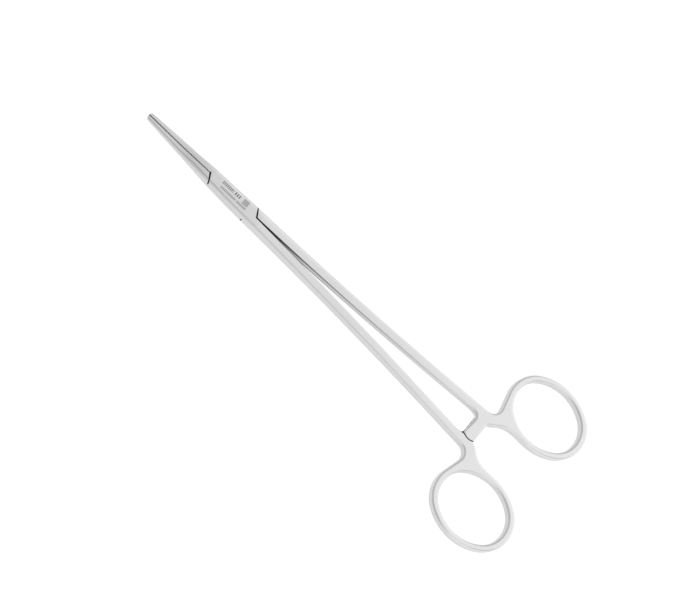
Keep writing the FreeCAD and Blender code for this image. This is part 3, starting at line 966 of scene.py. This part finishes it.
@dataclass(frozen=True)
class Tongue:
    """Ratchet tongue of the male arm, in mm: the upper half of a bar across both arms.

    It reaches past the middle line by reach, and its end is an arc of radius end. Its near root at the
    shank and its far root at the web are arcs as well, and rooting carries them on into the metal. Its
    teeth have a pitch, a depth, a flat land and a lean. Its top stays bury under the handle's, so that no
    two faces share one plane when the two are joined.
    """

    width: float = 4.5
    reach: float = 4.4
    end: float = 4.2
    far_root: float = 4.0
    near_root: float = 2.0
    rooting: float = 2.3
    edge: float = 0.35
    face_gap: float = 0.1
    side_clearance: float = 0.5
    end_clearance: float = 0.32
    tooth_pitch: float = 1.8
    tooth_depth: float = 0.5
    tooth_land: float = 0.15
    tooth_lean: float = 0.14
    tooth_count: int = 4
    bury: float = 0.004
    overrun: float = 1.0
    tooth_overrun: float = 0.2
    end_steps: int = 16
    side_points: tuple[int, int] = (16, 14)
    root_steps: int = 12
    edge_steps: int = 8
    recess_steps: int = 20

    def face(self, seat: Seat) -> float:
        """Height of the tongue's toothed lower face."""
        return seat.middle + self.face_gap / 2

    def plan(self, seat: Seat) -> tuple[np.ndarray, np.ndarray]:
        """Plan of the tongue, counter-clockwise, with a rounded end and flared roots.

        The radius of its top edge grows along its sides to the handle's own at the roots.

        Args:
            seat: Where the handle carries it.

        Returns:
            Its points, and the radius of the edge at each point.
        """
        half = self.width / 2
        start, end = seat.x - half, seat.x + half
        shoulder = self.end - math.sqrt(self.end**2 - half**2) - self.reach
        spread = math.degrees(math.asin(half / self.end))
        far_x, far_y = end + self.far_root, seat.far_y - self.far_root
        near_x, near_y = start - self.near_root, seat.near_y - self.near_root
        tip = arc((seat.x, self.end - self.reach), self.end, -90 - spread, -90 + spread, self.end_steps)
        far = arc((far_x, far_y), self.far_root, 180, 90, self.root_steps)
        near = arc((near_x, near_y), self.near_root, 90, 0, self.root_steps)
        inside = [(far_x, seat.far_y + self.rooting), (near_x, seat.near_y + self.rooting)]
        far_points, near_points = self.side_points
        sides = np.linspace((end, shoulder), (end, far_y), far_points)[1:-1]
        back = np.linspace((start, near_y), (start, shoulder), near_points)[1:-1]
        growth = seat.edge - self.edge
        radius = [
            np.full(len(tip), self.edge),
            self.edge + growth * soft_step(np.linspace(0, 1, len(sides))),
            np.full(len(far) + len(inside) + len(near), seat.edge),
            self.edge + growth * soft_step(np.linspace(1, 0, len(back)))]
        return np.concatenate([tip, sides, far, inside, near, back]), np.concatenate(radius)

    def build(self, seat: Seat, steels: Sequence[bpy.types.Material]) -> bpy.types.Object:
        """The tongue, softened along its top by quarter circles, with sawteeth across its lower face.

        Its lower face and its end are left milled and painted dark as shade.

        Args:
            seat: Where the handle carries it.
            steels: The materials in slot order.

        Returns:
            The closed skin.
        """
        high = seat.top - self.bury
        plan, radius = self.plan(seat)
        offsets = inward(plan) * radius[:, None]
        turn = np.linspace(math.pi / 2, 0.0, self.edge_steps + 1)
        rows = [
            np.column_stack([plan + offsets * (1 - math.cos(angle)), high - radius * (1 - math.sin(angle))])
            for angle in turn]
        rows.append(np.column_stack([plan, np.full(len(plan), self.face(seat))]))
        shell = Shell()
        rings = shell.add(np.stack(rows))
        shell.join(rings[:-1], closed=True)
        end = self.end_steps + 1
        shell.join(rings[-2:, :end], slot=Finish.MILLED_PAINTED_SHADE)
        shell.join(np.concatenate([rings[-2:, end - 1:], rings[-2:, :1]], axis=1))
        shell.fill(rings[0])
        shell.fill(rings[-1], slot=Finish.MILLED_PAINTED_SHADE)
        made = shell.to_object("tongue", steels)
        combine(made, Join.CUT, *(tooth.to_object("tooth", steels) for tooth in self.teeth(seat)))
        return made

    def teeth(self, seat: Seat) -> list[Shell]:
        """The sawtooth spaces, each a triangle in Y and Z swept across the tongue.

        Args:
            seat: Where the handle carries the tongue.

        Returns:
            The closed skins.
        """
        first = -self.tooth_pitch * self.tooth_count / 2
        run = self.tooth_pitch - self.tooth_land
        low = self.face(seat)
        under = low - self.tooth_overrun
        found = []
        for index in range(self.tooth_count):
            catch = first + index * self.tooth_pitch
            corners = np.array([
                (catch, under), (catch, low), (catch + self.tooth_lean, low + self.tooth_depth),
                (catch + run, low), (catch + run, under)])
            ends = [
                np.column_stack([np.full(len(corners), seat.x + side * self.width), corners])
                for side in (-1, 1)]
            shell = Shell()
            rings = shell.grid(np.stack(ends), closed=True, slot=Finish.MILLED_PAINTED_SHADE)
            shell.face(rings[0], Finish.MILLED_PAINTED_SHADE)
            shell.face(rings[1], Finish.MILLED_PAINTED_SHADE)
            found.append(shell)
        return found

    def recess(self, seat: Seat) -> Shell:
        """Room in the handle's lower half for the end of the other arm's tongue.

        Args:
            seat: Where the handle carries its own tongue.

        Returns:
            The closed skin of the block that is cut away.
        """
        half = self.width / 2 + self.side_clearance
        radius = self.end + self.end_clearance
        centre = self.reach + self.end_clearance - radius
        spread = math.degrees(math.asin(half / radius))
        end = arc((seat.x, centre), radius, 90 - spread, 90 + spread, self.recess_steps)
        back = -self.reach * 2
        plan = np.concatenate([[(seat.x - half, back), (seat.x + half, back)], end])
        return prism(plan, -self.overrun, self.face(seat) - self.bury)


@dataclass(frozen=True)
class Handle:
    """Shank, web and finger ring of the male arm with its tongue, in mm; the female's is turned half over.

    The gap between the shanks grows from the crossing's to end_gap, of which the share bow follows a
    parabola. The shank ends lead ahead of the tongue. Its inner edges are rounded from inner_rounding near
    the box, reached over inner_lead, to edge at its end. The finger opening and the rim give their length
    first and their width second. The web's outer side leaves the ring at the angle leave, in degrees, and
    meets the shank in a fillet; its inner side passes web_turn, which is counted from the tongue's far side
    and from the middle line.
    """

    crossing: Crossing = Crossing()
    tongue: Tongue = Tongue()
    length: float = 180.0
    edge: float = 0.8
    end_gap: float = 8.7
    bow: float = 0.575
    end_width: float = 2.9
    inner_rounding: float = 0.15
    inner_lead: float = 2.0
    lead: float = 3.6
    opening: tuple[float, float] = (26.3, 21.1)
    end_curve: float = 9.2
    rim: tuple[float, float] = (2.55, 2.1)
    ring_offset: float = 8.05
    web_fillet: float = 3.3
    web_turn: tuple[float, float] = (0.4, 4.05)
    web_drop: float = 1.4
    leave: float = 195.0
    tongue_setback: float = 0.55
    root_drop: float = 0.15
    shank_steps: int = 90
    shank_crowding: float = 1.25
    web_steps: int = 12
    fillet_steps: int = 16
    web_line_points: tuple[int, int] = (4, 6)
    oval_steps: tuple[int, int, int] = (20, 26, 36)

    @property
    def form(self) -> ClosedForm:
        """The closed form that the handle leaves from."""
        return self.crossing.form

    @property
    def thickness(self) -> float:
        """Thickness of web, ring and both tongues together."""
        return self.form.handle_thickness

    @property
    def root_gap(self) -> float:
        """Gap between the two shanks where they leave the box."""
        return self.crossing.shank_gap

    @property
    def root_width(self) -> float:
        """Width of the shank where it leaves the box."""
        return (self.form.rear_width - self.root_gap) / 2

    @property
    def ring_centre(self) -> tuple[float, float]:
        """Plan centre of the finger ring."""
        x = self.length - self.form.tip_reach - self.rim[0] - self.opening[0] / 2
        return x, self.ring_offset + self.rim[1] + self.opening[1] / 2

    @property
    def tongue_x(self) -> float:
        """Middle of the tongue along X."""
        return self.ring_centre[0] - self.opening[0] / 2 - self.rim[0] - self.tongue_setback

    @property
    def web_y(self) -> float:
        """Height of the web's inner side past the tongue."""
        return self.ring_offset - self.web_drop

    @property
    def seat(self) -> Seat:
        """Where the tongue grows from shank and web."""
        near_y, top = self.end_gap / 2 - self.root_drop, self.form.middle + self.thickness / 2
        return Seat(self.tongue_x, near_y, self.web_y, self.form.middle, top, self.edge)

    @property
    def shank_end(self) -> float:
        """Where the shank ends and the flat handle begins."""
        return self.tongue_x - self.tongue.width / 2 - self.lead

    @property
    def slope(self) -> float:
        """Slope of the shank's inner line at its end."""
        run = self.shank_end - self.form.box_rear
        return (self.end_gap - self.root_gap) / 2 * (1 + self.bow) / run

    def gap_shade(self) -> PaintedGapShade:
        """The painted shade on the faces between the two shanks.

        Returns:
            The painted shade, along the same straight part and parabola as the shanks' inner lines.
        """
        run = self.shank_end - self.form.box_rear
        rise = (self.end_gap - self.root_gap) / 2
        return PaintedGapShade(
            middle=self.form.middle, root=self.form.box_rear, half_gap=self.root_gap / 2,
            slope=rise * (1 - self.bow) / run, curve=rise * self.bow / run**2)

    def shank_lines(self) -> tuple[np.ndarray, np.ndarray]:
        """Inner and outer plan lines of the shank at the same places along X, closer together near the box.

        The inner line's height is a straight part plus a parabola; the width shrinks steadily.

        Returns:
            The inner line's points and the outer line's, from the box outwards.
        """
        share = np.linspace(0.0, 1.0, self.shank_steps + 1) ** self.shank_crowding
        x = self.form.box_rear + (self.shank_end - self.form.box_rear) * share
        spread = (1 - self.bow) * share + self.bow * share**2
        inner = (self.root_gap + (self.end_gap - self.root_gap) * spread) / 2
        outer = inner + self.root_width + (self.end_width - self.root_width) * share
        return np.column_stack([x, inner]), np.column_stack([x, outer])

    def oval(
        self, grow: tuple[float, float], curve: float, ends: tuple[float, float] | None = None,
    ) -> np.ndarray:
        """Oval of four tangent arcs, from its inner side round the far end to its near end.

        Args:
            grow: How far it lies outside the opening, at the ends and at the sides.
            curve: Radius of the two tighter ends.
            ends: First angle on the inner side and last angle on the near end, in degrees; None for all.

        Returns:
            Plan points, counter-clockwise.
        """
        x, y = self.ring_centre
        long, wide = self.opening[0] / 2 + grow[0], self.opening[1] / 2 + grow[1]
        shift = long - curve
        side = (shift**2 + wide**2 - curve**2) / (2 * (wide - curve))
        turn = math.degrees(math.atan2(side - wide, shift))
        start, stop = ends or (turn - 180, 180 + turn)
        part, end, outer = self.oval_steps
        loop = np.concatenate([
            arc((x, y + side - wide), side, start, -turn, part)[:-1],
            arc((x + shift, y), curve, -turn, turn, end)[:-1],
            arc((x, y - side + wide), side, turn, 180 - turn, outer)[:-1],
            arc((x - shift, y), curve, 180 - turn, stop, part),
        ])
        return loop if ends else loop[:-1]

    def underside(self, start: np.ndarray) -> np.ndarray:
        """Inner side of the web: a cubic spline through four places with set directions at both ends.

        The spline runs over chord length. Its inner tangents come from the condition that the second
        derivative is continuous.

        Args:
            start: The shank's last inner point.

        Returns:
            Plan points after the start, to the ring's middle.
        """
        side = self.tongue_x + self.tongue.width / 2
        turn = (side + self.web_turn[0], self.web_turn[1])
        end = (self.ring_centre[0], self.ring_offset)
        knots = np.array([start, turn, (side + self.tongue.far_root, self.web_y), end])
        chord = np.linalg.norm(np.diff(knots, axis=0), axis=1)
        first = np.array([1.0, self.slope]) / math.hypot(1.0, self.slope)
        last = np.array([1.0, 0.0])
        slopes = np.diff(knots, axis=0) / chord[:, None]
        matrix = np.array([[2 * (chord[0] + chord[1]), chord[0]], [chord[2], 2 * (chord[1] + chord[2])]])
        right = np.array([
            3 * (chord[1] * slopes[0] + chord[0] * slopes[1]) - chord[1] * first,
            3 * (chord[2] * slopes[1] + chord[1] * slopes[2]) - chord[1] * last,
        ])
        inner = np.linalg.solve(matrix, right)
        tangents = np.array([first, inner[0], inner[1], last])
        t = np.linspace(0.0, 1.0, self.web_steps + 1)[1:, None]
        pieces = []
        for i, run in enumerate(chord):
            pieces.append(
                (2 * t**3 - 3 * t**2 + 1) * knots[i] + (t**3 - 2 * t**2 + t) * run * tangents[i]
                + (3 * t**2 - 2 * t**3) * knots[i + 1] + (t**3 - t**2) * run * tangents[i + 1])
        return np.concatenate(pieces)

    def web_corner(self, shank_point: np.ndarray, ring_point: np.ndarray) -> np.ndarray:
        """Outer side of the web, from the ring back to the shank: a line, a fillet and a line.

        Args:
            shank_point: The shank's last outer point.
            ring_point: The ring's last point.

        Returns:
            Plan points after the ring's, to the shank's.
        """
        leave = math.radians(self.leave)
        to_corner = np.array([math.sin(leave), -math.cos(leave)])
        run = self.shank_end - self.form.box_rear
        along = np.array([1.0, self.slope - (self.root_width - self.end_width) / run])
        along /= np.linalg.norm(along)
        share, _ = np.linalg.solve(np.column_stack([along, to_corner]), ring_point - shank_point)
        corner = shank_point + along * share
        away = -to_corner if (ring_point - corner) @ to_corner < 0 else to_corner
        half = math.acos(float(np.clip(along @ away, -1, 1))) / 2
        setback = self.web_fillet * math.tan(half)
        centre = corner - along * setback + np.array([-along[1], along[0]]) * self.web_fillet
        begin = corner + away * setback - centre
        end = corner - along * setback - centre
        angles = [math.degrees(math.atan2(v[1], v[0])) for v in (begin, end)]
        if angles[1] > angles[0]:
            angles[1] -= 360
        fillet = arc(centre, self.web_fillet, angles[0], angles[1], self.fillet_steps)
        line_points, back_points = self.web_line_points
        line = np.linspace(ring_point, fillet[0], line_points)[1:-1]
        back = np.linspace(fillet[-1], shank_point, back_points)[1:]
        return np.concatenate([line, fillet, back])

    def outline(self) -> tuple[np.ndarray, np.ndarray]:
        """Plan loop of shank, web and ring, counter-clockwise from the shank's inner root.

        Returns:
            Its points, and the radius of the edge at each point.
        """
        inner, outer = self.shank_lines()
        ring = self.oval(self.rim, self.end_curve + self.rim[1], (-90, self.leave))
        web = self.web_corner(outer[-1], ring[-1])
        loop = np.concatenate([inner, self.underside(inner[-1]), ring[1:], web, outer[-2::-1]])
        share = (inner[:, 0] - self.form.box_rear) / (self.shank_end - self.form.box_rear)
        lead = soft_step((inner[:, 0] - self.form.box_rear) / self.inner_lead)
        inner_radius = (self.inner_rounding + (self.edge - self.inner_rounding) * share) * lead
        end_share = self.edge / (self.thickness / 2)
        box_share = self.form.box_rounding
        outer_radius = (box_share + (end_share - box_share) * share) * self.form.half_thickness(outer[:, 0])
        plain = np.full(len(loop) - len(inner) - len(outer) + 1, self.edge)
        return loop, np.concatenate([inner_radius, plain, outer_radius[-2::-1]])

    def edge_rows(self, loop: np.ndarray, offsets: np.ndarray, radius: np.ndarray) -> np.ndarray:
        """Rows of the rounded side over a loop: a quarter circle down from the top, then one to the bottom.

        Args:
            loop: Plan points.
            offsets: Offset direction into the metal at each point.
            radius: Edge radius at each point.

        Returns:
            Points, rows by loop points.
        """
        turn = np.linspace(math.pi / 2, 0.0, self.form.corner_steps + 1)
        top = np.stack([1 - np.cos(turn), np.sin(turn) - 1], axis=-1)
        rows = []
        for sign, shape in ((1, top), (-1, top[::-1])):
            for into, down in shape:
                plan = loop + offsets * (radius * into)[:, None]
                half = self.form.half_thickness(plan[:, 0])
                rows.append(np.column_stack([plan, self.form.middle + sign * (half + radius * down)]))
        return np.stack(rows)

    def plate(self) -> Shell:
        """Skin of shank, web and ring, open at the box end.

        The side is a grid of edge rows by outline points. Over the shank the flats are quads between the
        inner and outer lines; past it they are filled between the outline and the opening.

        Returns:
            The skin.
        """
        loop, radius = self.outline()
        offsets = inward(loop)
        offsets[0], offsets[-1] = (0.0, 1.0), (0.0, -1.0)
        shell = Shell()
        side = shell.grid(self.edge_rows(loop, offsets, radius))
        hole = self.oval((0.0, 0.0), self.end_curve)
        rim_rows = self.edge_rows(hole, -inward(hole), np.full(len(hole), self.edge))
        rim = shell.grid(rim_rows, closed=True)
        last = self.shank_steps
        for row in (0, -1):
            shell.join(np.stack([side[row, :last + 1], side[row, ::-1][:last + 1]]))
            shell.fill(side[row, last:len(loop) - last], rim[row])
        return shell

    def build(self, steels: Sequence[bpy.types.Material]) -> bpy.types.Object:
        """The male handle with its recess and tongue.

        Args:
            steels: The materials in slot order.

        Returns:
            The skin, open at the box end.
        """
        made = self.plate().to_object("handle", steels)
        combine(made, Join.CUT, self.tongue.recess(self.seat).to_object("recess", steels))
        combine(made, Join.ADD, self.tongue.build(self.seat, steels))
        return made


def turned_over(source: bpy.types.Object, middle: float) -> bpy.types.Object:
    """A copy of an object turned half a turn about the X direction.

    Args:
        source: The object.
        middle: Height of the line that it is turned about, in mm.

    Returns:
        The copy.
    """
    mesh = source.data.copy()
    mesh.transform(Matrix.Translation((0, 0, 2 * middle * MM)) @ Matrix.Rotation(math.pi, 4, "X"))
    made = bpy.data.objects.new(source.name + "_turned", mesh)
    bpy.context.scene.collection.objects.link(made)
    return made


def weld(front: bpy.types.Object, rear: bpy.types.Object, seam: float) -> None:
    """Joins the rear skin to the front one where both end on the same ring.

    Args:
        front: The object that takes the result; its cap at the seam is taken off.
        rear: The object that is used up.
        seam: Place of the shared ring along X, in mm.
    """
    work = bmesh.new()
    work.from_mesh(front.data)
    caps = [f for f in work.faces if all(abs(v.co.x - seam * MM) < MERGE_DISTANCE for v in f.verts)]
    bmesh.ops.delete(work, geom=caps, context="FACES_ONLY")
    work.from_mesh(rear.data)
    bmesh.ops.remove_doubles(work, verts=work.verts, dist=MERGE_DISTANCE)
    bmesh.ops.recalc_face_normals(work, faces=work.faces)
    open_edges = sum(1 for e in work.edges if not e.is_manifold)
    LOG.info("%s: %d faces, %d open edges", front.name, len(work.faces), open_edges)
    work.to_mesh(front.data)
    work.free()
    bpy.data.meshes.remove(rear.data)


def soften(target: bpy.types.Object, seam: tuple[float, float] | None) -> None:
    """Shades an object smoothly up to a fixed angle, with normals weighted by face area.

    Args:
        target: The object.
        seam: Place along X and half gap, in mm, of the points where the shank's inner rounding begins;
            the edges that meet there stay sharp.
    """
    mesh = target.data
    mesh.shade_smooth()
    mesh.set_sharp_from_angle(angle=math.radians(SHARP_ANGLE))
    if seam is not None:
        points = np.empty(len(mesh.vertices) * 3, dtype=np.float32)
        mesh.vertices.foreach_get("co", points)
        points = points.reshape(-1, 3) / MM
        corner = (np.abs(points[:, 0] - seam[0]) < SEAM_REACH) & (np.abs(points[:, 1]) < seam[1] + SEAM_REACH)
        ends = np.empty(len(mesh.edges) * 2, dtype=np.int32)
        mesh.edges.foreach_get("vertices", ends)
        sharp = mesh.attributes["sharp_edge"].data
        marked = np.empty(len(mesh.edges), dtype=bool)
        sharp.foreach_get("value", marked)
        sharp.foreach_set("value", marked | corner[ends.reshape(-1, 2)].any(axis=1))
    weighted = target.modifiers.new("normals", "WEIGHTED_NORMAL")
    weighted.keep_sharp = True
    graph = bpy.context.evaluated_depsgraph_get()
    target.data = bpy.data.meshes.new_from_object(target.evaluated_get(graph))
    target.modifiers.clear()
    bpy.data.meshes.remove(mesh)
    level_flats(target.data)


def level_flats(mesh: bpy.types.Mesh) -> None:
    """Gives the corners at level faces straight up or down normals, so that the flats stay even.

    Args:
        mesh: The mesh; corners of steep faces keep their normals.
    """
    facing = np.empty(len(mesh.polygons) * 3, dtype=np.float32)
    mesh.polygons.foreach_get("normal", facing)
    sizes = np.empty(len(mesh.polygons), dtype=np.int32)
    mesh.polygons.foreach_get("loop_total", sizes)
    upright = np.repeat(facing.reshape(-1, 3)[:, 2], sizes)
    corners = np.empty(len(mesh.loops), dtype=np.int32)
    mesh.loops.foreach_get("vertex_index", corners)
    normals = np.empty(len(mesh.loops) * 3, dtype=np.float32)
    mesh.corner_normals.foreach_get("vector", normals)
    normals = normals.reshape(-1, 3)
    for sign in (1, -1):
        level = np.zeros(len(mesh.vertices), dtype=bool)
        level[corners[sign * upright > LEVEL]] = True
        normals[level[corners] & (sign * upright > NEARLY_LEVEL)] = (0.0, 0.0, sign)
    mesh.normals_split_custom_set(normals.tolist())


@dataclass(frozen=True)
class Opening:
    """A dim round patch in the tent of light.

    Its depth is full inside the first of two angles, in degrees, and gone outside the second.
    """

    direction: tuple[float, float, float]
    depth: float
    angles: tuple[float, float]

    def level(self, graph: NodeGraph, direction: Wire) -> Wire:
        """What the patch leaves of the light.

        Args:
            graph: The world's graph.
            direction: The direction looked in.

        Returns:
            1 outside the wide angle, and 1 minus the depth inside the narrow one.
        """
        facing = graph.add(
            "ShaderNodeVectorMath", {"operation": "DOT_PRODUCT"},
            {0: direction, 1: tuple(Vector(self.direction).normalized())}, output="Value")
        narrow, wide = (math.cos(math.radians(angle)) for angle in self.angles)
        return 1 - ((facing - wide) / (narrow - wide)).clipped() * self.depth


@dataclass(frozen=True)
class SoftBox:
    """A square area lamp, in metres; a level of 1 looks white from the object."""

    name: str
    place: tuple[float, float, float]
    target: tuple[float, float, float]
    side: float
    level: float

    def build(self) -> None:
        """Hangs the lamp and points it at its target."""
        data = bpy.data.lights.new(self.name, "AREA")
        data.shape = "SQUARE"
        data.size = self.side
        data.energy = self.level * math.pi * self.side * self.side
        lamp = bpy.data.objects.new(self.name, data)
        bpy.context.scene.collection.objects.link(lamp)
        lamp.location = self.place
        aim = Vector(self.target) - Vector(self.place)
        lamp.rotation_euler = aim.to_track_quat("-Z", "Y").to_euler()


@dataclass(frozen=True)
class Studio:
    """Pale floor, white surroundings, a soft lamp and the camera.

    The floor shows one mix of paper and glow to the camera and lights the object with another. The sky's
    stops are pairs of a direction's x and a level. The camera's place is in mm and its lens in mm.
    """

    floor_size: float = 6.0
    shown_albedo: float = 0.32
    shown_glow: float = 0.84
    lit_albedo: float = 0.5
    lit_glow: float = 0.58
    sky_stops: tuple[tuple[float, float], ...] = (
        (-0.30, 0.66), (-0.10, 0.80), (0.02, 0.87), (0.08, 0.86), (0.15, 1.16), (0.40, 1.22))
    openings: tuple[Opening, ...] = (
        Opening((-0.14, -0.38, 0.915), 0.60, (6.0, 18.0)),
        Opening((0.64, -0.18, 0.75), 0.50, (10.0, 28.0)),
    )
    lamps: tuple[SoftBox, ...] = (SoftBox("soft_box", (0.35, 1.25, 1.0), (0.05, 0.0, 0.0), 0.9, 0.3),)
    camera_place: tuple[float, float, float] = (-4.0, -233.1, 591.9)
    camera_right: tuple[float, float, float] = (0.7195, 0.6189, 0.3149)
    camera_forward: tuple[float, float, float] = (0.0863, 0.3703, -0.9249)
    lens: float = 100.0
    sensor: float = 36.0
    clip: tuple[float, float] = (0.01, 20.0)

    def build(self) -> None:
        """Makes the whole studio."""
        self.build_world()
        self.build_floor()
        for lamp in self.lamps:
            lamp.build()
        self.build_camera()
        bpy.context.scene.view_settings.view_transform = "Standard"

    def build_world(self) -> None:
        """White to the camera; for light and reflections a bright tent with dim openings overhead.

        The tent's level follows a ramp over the direction's x, and each opening takes its share away.
        """
        world = bpy.data.worlds.new("studio")
        world.use_nodes = True
        bpy.context.scene.world = world
        graph = NodeGraph(world.node_tree)
        direction = graph.add("ShaderNodeTexCoord", output="Generated")
        along = graph.add("ShaderNodeSeparateXYZ", {}, {0: direction}, output=0)
        brightest = max(level for _, level in self.sky_stops)
        stops = [((place + 1) / 2, level / brightest) for place, level in self.sky_stops]
        level = graph.add("ShaderNodeValToRGB", {"stops": stops}, {0: along * 0.5 + 0.5}) * brightest
        for opening in self.openings:
            level = level * opening.level(graph, direction)
        seen = graph.add("ShaderNodeLightPath", output="Is Camera Ray")
        shown = level + (1 - level) * seen
        glow = graph.add("ShaderNodeBackground", {}, {"Color": opaque((1.0, 1.0, 1.0)), "Strength": shown})
        graph.add("ShaderNodeOutputWorld", {}, {"Surface": glow})

    def build_floor(self) -> None:
        """A plain white floor.

        To the camera it is mostly its own glow with a soft share of the object's shadow. To everything
        else it is a real white sheet, so that narrow gaps between the arms turn dark.
        """
        half = self.floor_size / 2
        mesh = bpy.data.meshes.new("floor")
        corners = [(-half, -half, 0), (half, -half, 0), (half, half, 0), (-half, half, 0)]
        mesh.from_pydata(corners, [], [(0, 1, 2, 3)])
        floor = bpy.data.objects.new("floor", mesh)
        bpy.context.scene.collection.objects.link(floor)
        material = bpy.data.materials.new("floor_paper")
        material.use_nodes = True
        graph = NodeGraph(material.node_tree)
        white = opaque((1.0, 1.0, 1.0))
        sides = []
        for albedo, strength in ((self.lit_albedo, self.lit_glow), (self.shown_albedo, self.shown_glow)):
            paper = graph.add("ShaderNodeBsdfDiffuse", {}, {"Color": opaque([albedo] * 3)})
            glow = graph.add("ShaderNodeEmission", {}, {"Color": white, "Strength": strength})
            sides.append(graph.add("ShaderNodeAddShader", {}, {0: paper, 1: glow}))
        camera = graph.add("ShaderNodeLightPath", output="Is Camera Ray")
        both = graph.add("ShaderNodeMixShader", {}, {0: camera, 1: sides[0], 2: sides[1]})
        graph.add("ShaderNodeOutputMaterial", {}, {"Surface": both})
        mesh.materials.append(material)

    def build_camera(self) -> None:
        """The camera, turned as the picture was taken."""
        data = bpy.data.cameras.new("camera")
        data.lens = self.lens
        data.sensor_width = self.sensor
        data.clip_start, data.clip_end = self.clip
        camera = bpy.data.objects.new("camera", data)
        bpy.context.scene.collection.objects.link(camera)
        forward = Vector(self.camera_forward).normalized()
        right = Vector(self.camera_right).normalized()
        up = right.cross(forward).normalized()
        right = forward.cross(up)
        turn = Matrix((right, up, -forward)).transposed()
        camera.matrix_world = Matrix.Translation(Vector(self.camera_place) * MM) @ turn.to_4x4()
        bpy.context.scene.camera = camera


@dataclass(frozen=True)
class Forceps:
    """The whole instrument: two arms, each a side of the crossing with a handle, on one pin."""

    handle: Handle = Handle()
    marks: MarkField = MarkField()
    # Milled steel: its roughness and grain are real, and its dark colour is painted shade for faces inside
    # the box lock, the slot and the gaps.
    milled_painted_shade: SatinSteel = SatinSteel(
        "milled_steel_painted_shade", colour=(0.17, 0.17, 0.175), roughness=0.5, grain=Grain.GROUND, grain_height=0.004)

    def build(self) -> None:
        """Makes and dresses the male arm, the female arm and the pin."""
        crossing = self.handle.crossing
        box_rear = crossing.form.box_rear
        # Painted shade for the faces between the two shanks.
        gap_shade = self.handle.gap_shade()
        milled_painted_shade = self.milled_painted_shade.build()
        cheek = [SatinSteel("cheek_steel", marks=self.marks, gap_shade=gap_shade).build(), milled_painted_shade]
        plain = [SatinSteel("arm_steel", gap_shade=gap_shade).build(), milled_painted_shade]
        male = crossing.male(plain)
        female = crossing.female(cheek)
        male_handle = self.handle.build(plain)
        female_handle = turned_over(male_handle, crossing.form.middle)
        weld(male, male_handle, box_rear)
        weld(female, female_handle, box_rear)
        seam = (box_rear, crossing.shank_gap / 2)
        self.dress(male, "male_arm", "male_half", seam)
        self.dress(female, "female_arm", "female_half", seam)
        self.dress(crossing.pin(cheek), "pivot_pin", "female_half")

    @staticmethod
    def dress(
        target: bpy.types.Object, node: str, body: str, seam: tuple[float, float] | None = None,
    ) -> None:
        """Puts a finished skin in a solid's place.

        Args:
            target: The skin.
            node: The solid that it stands for.
            body: The body that it moves with.
            seam: Passed on to soften().
        """
        soften(target, seam)
        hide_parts(node)
        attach(target, body)
        LOG.info("%s: %d faces, dressed", target.name, len(target.data.polygons))


def main() -> None:
    """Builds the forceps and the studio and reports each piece."""
    logging.basicConfig(level=logging.INFO, format="%(message)s")
    Forceps().build()
    Studio().build()


if __name__ == "__main__":
    main()
